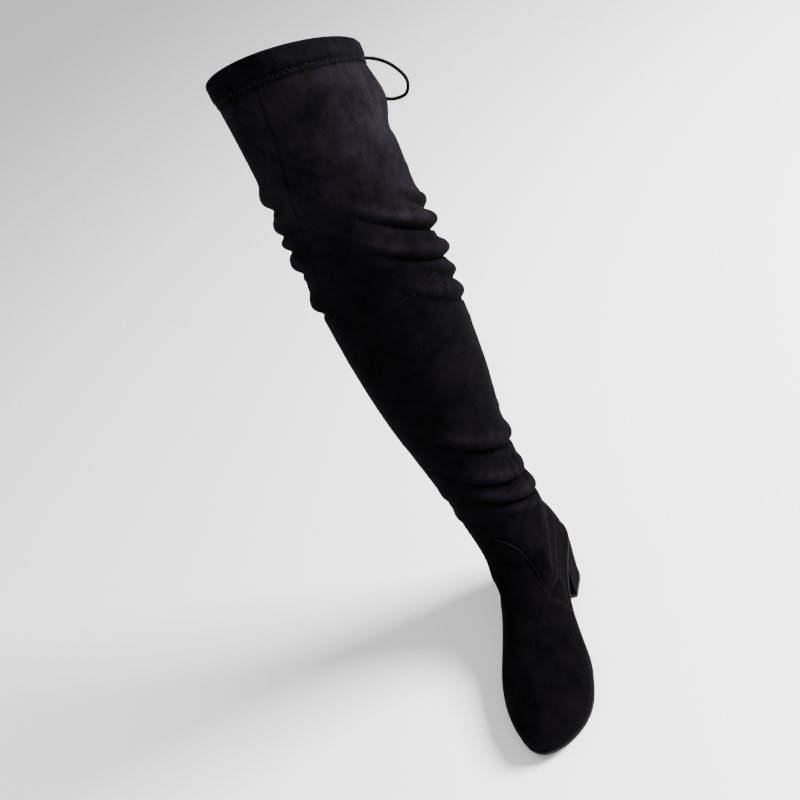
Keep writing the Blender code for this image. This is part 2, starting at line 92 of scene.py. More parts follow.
# Shape of a fold: swell of its crest, then the trough under it, and how far both are rolled along the skin
CREST_SWELL = 1.15
TROUGH_SHARE = 0.62
TROUGH_BELOW = 1.45
TROUGH_BREADTH = 0.55
CREST_ROLL = 0.85
TROUGH_ROLL = 0.30
ROLL_DROP = 0.35

# Painted light on the folds: a painted highlight on each crest and painted shade in the trough under it
# Columns: middle and half breadth (shares of the fold's), lighter or darker (below zero)
FOLD_PAINTED_LIGHT = ((0.38, 0.52, 1.0), (-1.30, 0.60, -1.15))

# Edges and seams of the panels. The vamp's inner face lies VAMP_OVER_LAP over the shaft, and its edge is
# lifted by a share of VAMP_LIFT
VAMP_LAP = 3.0 * MM
VAMP_OVER_LAP = 0.06 * MM
VAMP_EDGE_ROLL = 1.1 * MM
VAMP_EDGE_SHARE = 0.25
SEAM_LAP = 1.1 * MM
LIP = 0.25 * MM
RIM_ROLL = 1.35 * MM
RIM_INSET = 0.40 * MM
FRONT_SEAM_HALF = 2.3 * MM

# Stitches: place over the skin, length (of a zigzag, half its height), pitch and thread radius
HEM_ZIGZAG = (0.05 * MM, 1.9 * MM, 2.2 * MM, 0.30 * MM)
KNEE_ZIGZAG = (-0.30 * MM, 1.5 * MM, 2.3 * MM, 0.14 * MM)
FRONT_STITCH = (-0.22 * MM, 2.0 * MM, 3.3 * MM, 0.15 * MM)
VAMP_STITCH = (VAMP_LIFT - 0.45 * MM, 2.2 * MM, 2.9 * MM, 0.22 * MM)
COUNTER_STITCH = (0.0, 2.1 * MM, 2.9 * MM, 0.22 * MM)
VAMP_STITCH_INSET = 2.9 * MM
STITCH_RISE = 0.30 * MM

# Edges of a mesh look sharp from this angle on, in degrees
SHARP_FROM = 55

# Heights in metres over which the suede is painted lighter up the thigh, a painted light, and how little it
# blooms at its edges
PAINTED_LIGHT_FROM = 0.44
PAINTED_LIGHT_TO = 0.56
SUEDE_BLOOM = 0.004

# Plan of the last. Columns: share of the sole's length from the toe, centre line and fullness
PLAN = (
    (0.00, -0.010, 0.520), (0.03, -0.004, 0.545), (0.08, 0.000, 0.568), (0.15, 0.002, 0.585),
    (0.23, -0.006, 0.576), (0.31, -0.024, 0.540), (0.40, -0.038, 0.492), (0.50, -0.058, 0.424),
    (0.60, -0.060, 0.378), (0.70, -0.040, 0.382), (0.80, -0.014, 0.434), (0.88, 0.000, 0.530),
    (0.95, 0.000, 0.630), (1.00, 0.000, 0.700),
)

# Underside of the sole behind the ball. Columns: share of the length, share of the seat's height
ARCH = (
    (0.36, 0.000), (0.42, 0.035), (0.50, 0.200), (0.58, 0.430), (0.66, 0.650),
    (0.74, 0.810), (0.82, 0.905), (0.90, 0.960), (1.00, 1.000),
)

# Rows of the foot. Columns: front station, front rise, back reach, back rise, half width, turn to an oval
FOOT = (
    (0.000, 0.000, 0.000, 0.00, 0.36, 0.00), (0.001, 0.070, 0.020, 0.07, 0.36, 0.00),
    (0.016, 0.155, 0.030, 0.15, 0.36, 0.00), (0.066, 0.256, 0.033, 0.23, 0.36, 0.00),
    (0.147, 0.342, 0.026, 0.30, 0.37, 0.00), (0.231, 0.392, 0.012, 0.37, 0.37, 0.00),
    (0.315, 0.440, -0.008, 0.44, 0.38, 0.04), (0.399, 0.500, -0.028, 0.51, 0.40, 0.16),
    (0.470, 0.530, -0.044, 0.58, 0.42, 0.40), (0.530, 0.560, -0.052, 0.65, 0.44, 0.68),
    (0.576, 0.615, -0.052, 0.73, 0.455, 0.88), (0.601, 0.720, -0.046, 0.81, 0.465, 0.97),
    (0.613, 0.850, -0.038, 0.90, 0.472, 1.00), (0.617, 1.000, -0.030, 1.00, 0.476, 1.00),
)

# Rows of the leg. Columns: share of the height from the ankle to the rim, front and back reach, half width
LEG = (
    (0.06, -0.442, 0.304, 0.350), (0.12, -0.456, 0.320, 0.366), (0.20, -0.474, 0.352, 0.400),
    (0.30, -0.496, 0.404, 0.454), (0.40, -0.508, 0.426, 0.482), (0.50, -0.512, 0.430, 0.494),
    (0.58, -0.512, 0.422, 0.492), (0.68, -0.508, 0.412, 0.484), (0.78, -0.502, 0.410, 0.472),
    (0.90, -0.500, 0.416, 0.464), (1.00, -0.504, 0.420, 0.465),
)

# Gentle bow of the leg. Columns: share of RIM_HEIGHT, shift towards the medial side (share of SHAFT_WIDTH)
BOW = (
    (0.00, 0.000), (0.08, 0.000), (0.10, -0.004), (0.14, -0.040), (0.18, -0.078), (0.25, -0.112),
    (0.33, -0.120), (0.41, -0.116), (0.56, -0.080), (0.72, -0.012), (0.86, 0.068), (1.00, 0.130),
)

# Seam between vamp and shaft. Columns: ring number, share of the sole's length
SEAM = (
    (0.0, 0.556), (2.3, 0.560), (5.3, 0.547), (8.5, 0.566),
    (10.2, 0.607), (11.4, 0.622), (12.1, 0.6205), (12.8, 0.6165),
)

# Main folds. Columns: height (share of RIM_HEIGHT), turn and reach in degrees, rise along the reach, bow and
# half breadth (shares of RIM_HEIGHT), depth (share of FOLD_DEPTH)
FOLDS = (
    (0.739, 120, 60, -0.052, 0.023, 0.0095, 0.80), (0.722, 105, 88, -0.072, 0.032, 0.0082, 1.20),
    (0.684, 100, 85, -0.067, 0.030, 0.0082, 1.20), (0.641, 110, 58, -0.055, 0.025, 0.0085, 0.75),
    (0.617, 100, 72, -0.065, 0.029, 0.0095, 0.75), (0.836, 287, 52, 0.024, 0.000, 0.0105, 0.85),
    (0.798, 286, 54, 0.028, 0.000, 0.0100, 0.85), (0.774, 284, 50, 0.028, 0.000, 0.0090, 0.80),
    (0.744, 284, 54, 0.030, 0.000, 0.0105, 0.90), (0.682, 286, 54, 0.034, 0.000, 0.0110, 0.90),
    (0.748, 210, 46, 0.010, 0.012, 0.0115, 0.75), (0.712, 218, 44, 0.016, 0.010, 0.0110, 0.70),
    (0.664, 214, 48, 0.012, 0.010, 0.0115, 0.80), (0.622, 222, 50, 0.018, 0.010, 0.0110, 0.70),
    (0.394, 70, 95, -0.091, 0.027, 0.0135, 1.10), (0.326, 65, 85, -0.073, 0.022, 0.0120, 1.10),
    (0.281, 65, 85, -0.073, 0.022, 0.0110, 1.00), (0.256, 60, 45, -0.034, 0.000, 0.0095, 0.50),
    (0.336, 215, 70, 0.024, 0.016, 0.0130, 0.90), (0.290, 205, 75, 0.012, 0.014, 0.0130, 1.00),
    (0.246, 215, 75, 0.020, 0.014, 0.0120, 0.95), (0.312, 300, 55, 0.030, 0.000, 0.0115, 0.30),
    (0.262, 305, 50, 0.026, 0.000, 0.0110, 0.28), (0.208, 160, 60, 0.012, 0.000, 0.0110, 0.60),
    (0.878, 118, 24, 0.000, 0.000, 0.0220, 0.90),
)

# Width of one degree of turn on the leg's skin
DEGREE_WIDTH = 0.78 * MM

# Small folds and dimples of the cloth. Columns: height in mm, turn in degrees, slant in degrees from level,
# half length and half breadth in mm, depth in mm (below zero for a dimple)
PLEATS = (
    (204, 66, 58, 11, 2.6, 1.7), (211, 84, 50, 8, 3.2, -1.6), (183, 98, 35, 7, 3.2, -3.6),
    (172, 100, 20, 10, 3.0, 1.3), (191, 84, 40, 8, 2.6, 1.2), (146, 92, 66, 16, 4.2, 0.9),
    (134, 74, 60, 18, 4.6, 0.8), (156, 66, 24, 16, 4.0, 0.8), (122, 106, 72, 14, 5.0, 0.6),
    (484, 112, -20, 9, 3.0, -2.6), (451, 108, 16, 8, 2.6, -1.6), (429, 100, 30, 7, 2.4, 1.0),
    (418, 78, 40, 8, 2.4, 0.9), (512, 96, -35, 12, 3.4, 1.0), (520, 300, 10, 12, 3.0, -1.2),
    (488, 304, -14, 12, 3.0, -1.0), (463, 306, 12, 12, 3.0, -1.2), (566, 104, 62, 14, 4.5, -1.5),
    (586, 112, 75, 10, 3.2, -1.8), (590, 132, 80, 12, 3.0, 1.0), (156, 205, 8, 26, 3.4, 1.1),
    (142, 186, -6, 22, 3.4, 0.8), (176, 240, 20, 20, 3.2, 1.0), (150, 262, -38, 16, 3.6, 0.8),
    (222, 262, 14, 20, 3.6, 0.9), (190, 290, -24, 16, 3.0, 0.8), (252, 236, -10, 22, 4.0, 0.8),
    (455, 170, 12, 24, 3.4, 0.9), (438, 192, -8, 22, 3.2, 0.8), (500, 178, 10, 22, 3.6, 0.8),
    (402, 160, -14, 20, 3.4, 0.7), (378, 204, 10, 24, 3.8, 0.6), (356, 120, -24, 18, 4.4, 0.5),
    (262, 110, -18, 18, 4.0, 0.7),
)

# Bands where the stretched cloth creases by itself. Columns: height, half breadth and depth, all in mm
# Elsewhere on the leg the depth is LEAST_WRINKLE, between an end over the ankle and one below the rim
LEAST_WRINKLE = 0.14
WRINKLES_FROM = 0.095
WRINKLES_BELOW_RIM = 0.03
WRINKLE_FADE = 0.05
FOOT_WRINKLES_FROM = 0.04
FOOT_WRINKLE_FADE = 0.03
LEG_WRINKLES = ((195, 60, 0.36), (455, 65, 0.34))
FOOT_WRINKLES = ((85, 30, 0.25),)

# Grain of these creases. Columns: their number in a metre round the leg and along it, strength
WRINKLE_GRAIN = ((20, 62, 1.0), (55, 150, 0.30))

# Puckers that the tie draws in, as a band. Columns: distance below the rim and half breadth in mm, strength
PUCKERS = ((12, 16, 0.60),)

# Depth of the puckers round the cuff. Columns: degrees from the back, half breadth in degrees, depth in mm
LEAST_PUCKER = 0.22
PUCKER_DEPTH = ((24, 42, 1.15),)

# Waves of the puckers. Columns: number round the cuff, sway, number of sways, start of the sway, strength
PUCKER_WAVES = ((31, 1.7, 5, 0.6, 1.0), (53, 2.0, 7, 0.0, 0.5))

# Swell of the cuff up to its rolled rim, and the degrees round that roll. Columns: share of the way up,
# swell in mm
CUFF_SWELL = (
    (0.00, 0.12), (0.02, 0.18), (0.05, 0.28), (0.09, 0.20), (0.13, 0.05), (0.18, 0.25), (0.24, 0.70),
    (0.32, 1.00), (0.42, 1.15), (0.52, 1.20), (0.62, 1.15), (0.72, 1.05), (0.81, 1.00), (0.88, 1.00),
    (0.94, 0.98), (1.00, 0.95),
)
RIM_ARCS = (18, 36, 54, 72, 90)

# Relief beside the seams. Columns: distance from the seam, half breadth and height, all in mm
VAMP_RELIEF = ((1.2, 0.9, 0.40), (2.9, 0.75, -0.50), (4.2, 1.0, 0.12))
FRONT_SEAM_RELIEF = ((0.0, 0.7, -0.30), (1.4, 0.8, 0.14), (2.3, 0.7, -0.22))
BACK_SEAM_RELIEF = ((0.0, 0.7, -0.40), (1.5, 0.9, 0.12))
KNEE_SEAM_RELIEF = ((0.0, 1.6, -0.45),)
CUFF_SEAM_RELIEF = ((0.0, 1.8, -0.40),)

# Painted light and shade beside the seams: painted shade in their grooves and under lapped edges, a painted
# highlight on the vamp's rolled edge
# Columns: distance (of the hem, from the rim) and half breadth in mm, lighter or darker (below zero)
VAMP_PAINTED_LIGHT_AND_SHADE = ((0.9, 0.9, 0.7), (2.9, 0.9, -1.0))
VAMP_SEAM_PAINTED_SHADE = ((0.0, 2.2, -0.8),)
FRONT_SEAM_PAINTED_SHADE = ((0.0, 1.0, -0.5),)
CUFF_SEAM_PAINTED_SHADE = ((0.0, 2.2, -0.8),)
HEM_PAINTED_SHADE = ((13.8, 1.6, -0.6),)

# Front seam of the thigh. Columns: height in mm, turn in degrees
FRONT_SEAM = ((425, -31), (470, -27), (524, -18), (559, -10), (583, -4), (604, -1), (626, 3))

# Stitch row over the counter, and the turns at its ends. Columns: turn in degrees, height in mm
COUNTER_TOP = ((80, 75), (94, 74.5), (108, 77), (127, 86), (150, 97), (180, 104))
COUNTER_ENDS = (80, 179)

# Form of one stitch. Columns: share of its length, height as a share of STITCH_RISE, and thickness as a
# share of the thread's
STITCH_FORM = ((-0.06, -1.0, 0.6), (0.12, 0.6, 1.0), (0.50, 1.0, 1.05), (0.88, 0.6, 1.0), (1.06, -1.0, 0.6))

# Routes of the tie's cords from the knot's centre, in metres
LOOP_ROUTE = (
    (0.0067, 0.0016, 0.0019), (0.0150, 0.0040, 0.0036), (0.0280, 0.0075, 0.0020), (0.0400, 0.0100, -0.0050),
    (0.0490, 0.0110, -0.0160), (0.0525, 0.0110, -0.0280), (0.0480, 0.0105, -0.0360),
    (0.0375, 0.0095, -0.0365), (0.0250, 0.0080, -0.0280), (0.0140, 0.0048, -0.0135),
    (0.0067, 0.0016, -0.0022),
)
TAIL_ROUTE = (
    (0.0019, 0.0010, -0.0054), (0.0042, 0.0022, -0.0180), (0.0066, 0.0014, -0.0380),
    (0.0078, -0.0006, -0.0600), (0.0084, -0.0014, -0.0830), (0.0092, -0.0012, -0.1120),
)

# Studio lights. Columns: name, place and target in metres, size in metres, power in watts
LIGHTS = (
    ("key", (1.85, 0.45, 1.60), (0, 0, 0.35), 0.8, 330),
    ("top", (0.6, -0.6, 3.0), (0, 0, 0), 2.0, 30),
)
WORLD_STRENGTH = 0.85
FLOOR_SIZE = 30
FLOOR_DROP = 0.2 * MM


# The last and the upper as in the part, for many points at once

def smooth_curve(table):
    """Function that gives a table's other columns at values of its first, by a cubic through the rows."""
    table = np.array(table, dtype=float)
    keys, values = table[:, 0], table[:, 1:]
    slopes = np.gradient(values, keys, axis=0)

    def columns_at(x):
        x = np.clip(np.asarray(x, dtype=float), keys[0], keys[-1])
        i = np.clip(np.searchsorted(keys, x) - 1, 0, len(keys) - 2)
        span = (keys[i + 1] - keys[i])[..., None]
        t = (x - keys[i])[..., None] / span
        start = (2 * t**3 - 3 * t**2 + 1) * values[i] + (t**3 - 2 * t**2 + t) * span * slopes[i]
        end = (3 * t**2 - 2 * t**3) * values[i + 1] + (t**3 - t**2) * span * slopes[i + 1]
        return np.moveaxis(start + end, -1, 0)

    return columns_at


def ease(x):
    x = np.clip(x, 0.0, 1.0)
    return x * x * (3 - 2 * x)


def mix(a, b, share):
    return a + (b - a) * share


def soft_bands(at, table):
    """Sum of a table's soft bands at some places. Columns: middle, half breadth and height."""
    return sum(height * np.exp(-((at - middle) / breadth) ** 2) for middle, breadth, height in table)


plan_columns = smooth_curve(PLAN)
arch_height = smooth_curve(ARCH)
bow_shift = smooth_curve(BOW)
seam_columns = smooth_curve(SEAM)
front_seam_degrees = smooth_curve(FRONT_SEAM)
counter_height = smooth_curve(COUNTER_TOP)


def station_y(share):
    return SEAT_REACH - SOLE_LENGTH * (1 - share)


def station_of(y):
    return 1 - (SEAT_REACH - y) / SOLE_LENGTH


def underside(share):
    share = np.asarray(share, dtype=float)
    spring = TOE_SPRING * np.clip(1 - np.maximum(share, 0.0) / TREAD_STARTS, 0, None) ** 1.8
    rise = SEAT_HEIGHT * np.maximum(arch_height(share)[0], 0.0)
    return np.where(share < TREAD_STARTS, spring, np.where(share <= ARCH[0][0], 0.0, rise))


def outsole_top(share):
    share = np.asarray(share, dtype=float)
    return underside(share) + mix(OUTSOLE_THICKNESS, SEAT_THICKNESS, ease((share - 0.45) / 0.25))


def feather(share):
    return outsole_top(share) + GAP


def plan(share):
    centre, fullness = plan_columns(share)
    share = np.asarray(share, dtype=float)
    return centre * BALL_WIDTH, fullness * BALL_WIDTH * 2 * np.sqrt(np.maximum(share * (1 - share), 0.0))


FOOT_TOP = len(FOOT) - 1
ROWS = len(FOOT) + len(LEG) - 1
VAMP_ENDS = FOOT[-1][0]
vamp_height = smooth_curve([(row[0], float(feather(row[0])) + row[1] * INSTEP_RISE) for row in FOOT[1:]])


def ring_rows():
    """One row for each ring: front y and z, back y and z, half width, and turn to a plain oval."""
    rows = []
    for front, front_rise, back, back_rise, width, oval in FOOT:
        front_z = float(feather(front)) + front_rise * INSTEP_RISE
        back_z = float(feather(1.0)) + back_rise * COUNTER_RISE
        back_y = SEAT_REACH + back * BALL_WIDTH
        rows.append((station_y(front), front_z, back_y, back_z, width * BALL_WIDTH, oval))
    ankle_front, ankle_back = rows[-1][1], rows[-1][3]
    for height, front, back, width in LEG:
        front_z = mix(ankle_front, RIM_HEIGHT, height)
        back_z = mix(ankle_back, RIM_HEIGHT, height) - RIM_DROP * height**3
        rows.append((front * SHAFT_DEPTH, front_z, back * SHAFT_DEPTH, back_z, width * SHAFT_WIDTH, 1.0))
    return [(i,) + row for i, row in enumerate(rows)]


ring_columns = smooth_curve(ring_rows())


def by_halving(low, high, is_before):
    """Ring number between two others up to which is_before holds."""
    for _ in range(40):
        middle = (low + high) / 2
        if is_before(middle):
            low = middle
        else:
            high = middle
    return high


def ring_at_height(height):
    """Ring number whose front point lies at a height."""
    return by_halving(FOOT_TOP - 4, ROWS, lambda ring: ring_columns(ring)[1] < height)


def section(height_share):
    v = np.clip(height_share, 0.0, 1.0)
    return (0.955 + 0.095 * np.sin(np.pi * v**0.6)) * (1 - v**2.7) ** 0.46


def bare_skin(ring, turn):
    """Points of the outer face without folds, for arrays of ring numbers and turns of one shape."""
    front_y, front_z, back_y, back_z, width, oval = ring_columns(ring)
    oval = np.clip(oval, 0, 1)
    along = (1 - np.cos(turn)) / 2
    front = np.maximum(station_of(front_y), 0.0)
    share = mix(front, 1.0, along)
    low = feather(share)
    rise = mix(front_z - feather(front), back_z - feather(1.0), along)
    z = mix(low + rise, mix(front_z, back_z, along), ease(ring / 8))
    y = mix(front_y, back_y, along)
    across = np.sin(turn)
    centre, half = plan(share)
    ridge = vamp_height(share)[0] + np.maximum(share - VAMP_ENDS, 0.0) * SHIN_SLOPE
    ridge = ridge + (front_z - vamp_height(front)[0]) * (1 - along) ** 6
    last_half = half * section((z - low) / np.maximum(ridge - low, 1e-6))
    half_width = mix(last_half, width * np.abs(across), oval)
    side = np.where(np.abs(across) < 1e-9, 0.0, np.sign(across))
    x = centre * (1 - oval) + side * half_width + bow_shift(z / RIM_HEIGHT)[0] * SHAFT_WIDTH
    return np.stack((x, y, z), axis=-1)


def unit(v):
    return v / np.maximum(np.linalg.norm(v, axis=-1, keepdims=True), 1e-12)


def skin_frame(ring, turn):
    """Points of the bare face, its outward normals and its upward directions."""
    ring, turn = np.broadcast_arrays(ring, turn)
    points = bare_skin(ring, turn)
    up = bare_skin(np.minimum(ring + 0.05, ROWS), turn) - bare_skin(np.maximum(ring - 0.05, 0), turn)
    round_about = bare_skin(ring, turn + 0.03) - bare_skin(ring, turn - 0.03)
    normal = np.cross(round_about, up)
    normal[..., 2] = np.where(ring <= 0, 0.0, normal[..., 2])
    return points, unit(normal), unit(up)


def fold_places(height, turn):
    """Each main fold's depth, how it fades towards its ends, and how far the points lie above its line."""
    degrees = np.degrees(turn) % 360
    for middle, at, reach, rise, bend, breadth, depth in FOLDS:
        aside = ((degrees - at + 180) % 360 - 180) / reach
        fade = np.where(np.abs(aside) < 1, np.cos(np.pi / 2 * np.clip(aside, -1, 1)), 0.0)
        line = (middle + rise * aside + bend * aside * aside) * RIM_HEIGHT
        yield depth, fade, (height - line) / (breadth * RIM_HEIGHT)


def fold_relief(height, turn):
    """How far the folds push the skin out, and how far they roll it along, at heights and turns.

    Each fold is a soft ridge with a tighter trough under it, and its crest is rolled wider than its foot.
    """
    out, roll = np.zeros_like(height), np.zeros_like(height)
    for depth, fade, away in fold_places(height, turn):
        swell = depth * FOLD_DEPTH * fade**1.5
        crest = swell * np.exp(-away * away)
        trough = swell * np.exp(-((away + TROUGH_BELOW) / TROUGH_BREADTH) ** 2)
        out += CREST_SWELL * crest - TROUGH_SHARE * trough
        roll += CREST_ROLL * away * crest - TROUGH_ROLL * trough - ROLL_DROP * crest
    degrees = np.degrees(turn) % 360
    for middle, at, slant, length, breadth, depth in PLEATS:
        sideways = ((degrees - at + 180) % 360 - 180) * DEGREE_WIDTH
        upwards = height - middle * MM
        c, d = math.cos(math.radians(slant)), math.sin(math.radians(slant))
        along = (sideways * c + upwards * d) / (length * MM)
        across = (upwards * c - sideways * d) / (breadth * MM)
        out += depth * MM * np.exp(-along**2 - across**2)
    return out, roll


def painted_fold_light(height, turn):
    """Painted light over the folds: above zero for a painted highlight on a crest, below it for painted shade
    in a crease.
    """
    value = np.zeros_like(height)
    for depth, fade, away in fold_places(height, turn):
        value += depth * fade * soft_bands(away, FOLD_PAINTED_LIGHT)
    return np.clip(value, -1, 1)


def wrinkles(points):
    """Small unplanned creases of the stretched cloth, finer along the leg than round it."""
    flat = points.reshape(-1, 3)
    z = flat[:, 2]
    below_rim = RIM_HEIGHT - WRINKLES_BELOW_RIM - z
    on_leg = ease((z - WRINKLES_FROM) / WRINKLE_FADE) * ease(below_rim / WRINKLE_FADE)
    on_foot = ease((z - FOOT_WRINKLES_FROM) / FOOT_WRINKLE_FADE)
    depth = (LEAST_WRINKLE + soft_bands(z / MM, LEG_WRINKLES)) * on_leg
    depth = depth + soft_bands(z / MM, FOOT_WRINKLES) * on_foot
    grain = 0.0
    for across, along, strength in WRINKLE_GRAIN:
        values = [noise.noise(Vector((x * across, y * across, h * along))) for x, y, h in flat]
        grain = grain + strength * np.array(values)
    return (depth * grain * MM).reshape(points.shape[:-1])


def gathers(height_from_rim, turn):
    """Upright puckers that the drawstring draws into the cuff, deepest at its back."""
    back = np.abs((np.degrees(turn) % 360) - 180)
    depth = LEAST_PUCKER + soft_bands(back, PUCKER_DEPTH)
    waves = 0.0
    for count, sway, sways, start, strength in PUCKER_WAVES:
        waves = waves + strength * np.sin(count * turn + sway * np.sin(sways * turn + start))
    return depth * MM * waves * soft_bands(height_from_rim / MM, PUCKERS)


def skin_height(ring, turn):
    """Height of the bare skin at ring numbers and turns."""
    ring, turn = np.broadcast_arrays(ring, turn)
    return bare_skin(ring, turn)[..., 2]


def skin(ring, turn, lift, raised=0.0, wrinkled=True):
    """Points of the boot's surface with its folds, lifted off the outer face and raised along it."""
    ring, turn = np.broadcast_arrays(ring, turn)
    points, normal, up = skin_frame(ring, turn)
    out, roll = fold_relief(points[..., 2], turn)
    out = out + gathers(skin_height(ROWS, turn) - points[..., 2], turn)
    if np.any(wrinkled):
        out = out + np.where(wrinkled, wrinkles(points), 0.0)
    lifted = points + normal * (lift + out)[..., None] + up * (roll + raised)[..., None]
    lifted[..., 2] = np.where(ring <= 0, feather(station_of(lifted[..., 1])), lifted[..., 2])
    return lifted


# Seams, as ring numbers and turns

def seam_turn(ring, clearance=0.0):
    """Turn at which the vamp seam crosses a ring, 0 above its top."""
    ring = np.asarray(ring, dtype=float)
    front_y, _, back_y = ring_columns(ring)[:3]
    # The clearance shrinks towards the throat
    backwards = clearance * mix(1.0, 0.08, ease((ring - 9) / 3.5))
    share = (station_y(seam_columns(ring)[0]) + backwards - front_y) / (back_y - front_y)
    return np.arccos(1 - 2 * np.clip(share, 0, 1))


def seam_top(clearance=0.0):
    return by_halving(5, FOOT_TOP, lambda ring: seam_turn(ring, clearance) > 0)


# Materials

def linear(hex_colour):
    """Linear colour of an sRGB hex value."""
    values = [int(hex_colour[i:i + 2], 16) / 255 for i in (1, 3, 5)]
    return tuple(v / 12.92 if v <= 0.04045 else ((v + 0.055) / 1.055) ** 2.4 for v in values) + (1.0,)


def start_material(name, **sockets):
    """Material with a principled shader whose named sockets are set."""
    made = bpy.data.materials.new(name)
    made.use_nodes = True
    tree = made.node_tree
    shader = tree.nodes["Principled BSDF"]
    for socket, value in sockets.items():
        shader.inputs[socket.replace("_", " ")].default_value = value
    return made, tree, shader


def add_node(tree, kind, settings=None, links=None, stops=()):
    """Node with its settings, named sockets among them, its links, and its colour stops."""
    node = tree.nodes.new(kind)
    for key, value in (settings or {}).items():
        if isinstance(key, str) and hasattr(node, key):
            setattr(node, key, value)
        else:
            node.inputs[key].default_value = value
    for key, source in (links or {}).items():
        tree.links.new(source, node.inputs[key])
    for i, (position, colour) in enumerate(stops):
        if i >= len(node.color_ramp.elements):
            node.color_ramp.elements.new(position)
        node.color_ramp.elements[i].position = position
        node.color_ramp.elements[i].color = linear(colour)
    return node


def suede_material(name, dark, light, cloud_mm=30, brush_mm=4.5, nap_mm=0.9):
    """Faux suede, a brushed polyester microfibre: near black with a faint violet cast.

    It is cloudy where its fibres lie both ways. Up the thigh and on the crests it is painted lighter, a
    painted light, and in the creases and beside the seams darker, a painted shade. It has no gloss, and the
    faintest bloom where it turns from the eye. Its fibres are drawn coarser than their real 0.1 mm, so that
    they show.
    """
    made, tree, shader = start_material(
        name, Roughness=0.95, Sheen_Weight=SUEDE_BLOOM, Sheen_Roughness=0.45,
        Sheen_Tint=linear("#cfc6d8"), Specular_IOR_Level=0.01)
    place = add_node(tree, "ShaderNodeTexCoord").outputs["Object"]
    clouds = add_node(tree, "ShaderNodeTexNoise",
                      {"Scale": 1 / (cloud_mm * MM), "Detail": 6.0, "Roughness": 0.70, "Distortion": 0.25},
                      {"Vector": place})
    streaks = add_node(tree, "ShaderNodeMapping", {"Scale": (1.0, 1.0, 0.5)}, {"Vector": place})
    brushed = add_node(tree, "ShaderNodeTexNoise",
                       {"Scale": 1 / (brush_mm * MM), "Detail": 4.0, "Roughness": 0.65},
                       {"Vector": streaks.outputs["Vector"]})
    fibres = add_node(tree, "ShaderNodeTexNoise",
                      {"Scale": 1 / (nap_mm * MM), "Detail": 2.0, "Roughness": 0.7}, {"Vector": place})
    tone = add_node(tree, "ShaderNodeMath", {"operation": "MULTIPLY_ADD", 1: 0.30},
                    {0: brushed.outputs["Fac"], 2: clouds.outputs["Fac"]})
    tone = add_node(tree, "ShaderNodeMath", {"operation": "MULTIPLY_ADD", 1: 0.20},
                    {0: fibres.outputs["Fac"], 2: tone.outputs[0]})
    cloudy = add_node(tree, "ShaderNodeValToRGB", links={"Fac": tone.outputs[0]},
                      stops=((0.60, "#8a8a8a"), (0.92, "#ffffff")))
    # Painted light: the colour goes from the dark shin colour to the light thigh colour between these heights
    height = add_node(tree, "ShaderNodeSeparateXYZ", links={"Vector": place})
    painted_lit_share = add_node(tree, "ShaderNodeMapRange",
                      {"interpolation_type": "SMOOTHSTEP", "From Min": PAINTED_LIGHT_FROM, "From Max": PAINTED_LIGHT_TO},
                      {"Value": height.outputs["Z"]})
    colour = add_node(tree, "ShaderNodeMix", {"data_type": "RGBA", 6: linear(dark), 7: linear(light)},
                      {0: painted_lit_share.outputs["Result"]})
    colour = add_node(tree, "ShaderNodeMix", {"data_type": "RGBA", "blend_type": "MULTIPLY", 0: 1.0},
                      {6: colour.outputs[2], 7: cloudy.outputs["Color"]})
    # Painted light and shade from the mesh: the colour is up to doubled on a crest or edge and down to black
    # in a crease or seam
    painted_shading = add_node(tree, "ShaderNodeAttribute", {"attribute_name": "painted_shading"})
    painted_shading = add_node(tree, "ShaderNodeMapRange",
                   {"From Min": -1.0, "From Max": 1.0, "To Min": 0.0, "To Max": 2.0},
                   {"Value": painted_shading.outputs["Fac"]})
    colour = add_node(tree, "ShaderNodeVectorMath", {"operation": "SCALE"},
                      {0: colour.outputs[2], "Scale": painted_shading.outputs["Result"]})
    tree.links.new(colour.outputs[0], shader.inputs["Base Color"])
    bump = add_node(tree, "ShaderNodeBump", {"Strength": 0.35, "Distance": 0.25 * MM},
                    {"Height": fibres.outputs["Fac"]})
    tree.links.new(bump.outputs["Normal"], shader.inputs["Normal"])
    return made


def rubber_material(name, dark, light, roughness, scuff_mm=7, grain_mm=0.6):
    """Moulded rubber: matt, slightly greyed where it has been scuffed."""
    made, tree, shader = start_material(name, Roughness=roughness, Specular_IOR_Level=0.06, IOR=1.52)
    place = add_node(tree, "ShaderNodeTexCoord").outputs["Object"]
    scuff = add_node(tree, "ShaderNodeTexNoise",
                     {"Scale": 1 / (scuff_mm * MM), "Detail": 6.0, "Roughness": 0.7}, {"Vector": place})
    grain = add_node(tree, "ShaderNodeTexNoise", {"Scale": 1 / (grain_mm * MM), "Detail": 2.0},
                     {"Vector": place})
    colour = add_node(tree, "ShaderNodeValToRGB", links={"Fac": scuff.outputs["Fac"]},
                      stops=((0.35, dark), (0.75, light)))
    tree.links.new(colour.outputs["Color"], shader.inputs["Base Color"])
    bump = add_node(tree, "ShaderNodeBump", {"Strength": 0.25, "Distance": 0.15 * MM},
                    {"Height": grain.outputs["Fac"]})
    tree.links.new(bump.outputs["Normal"], shader.inputs["Normal"])
    return made


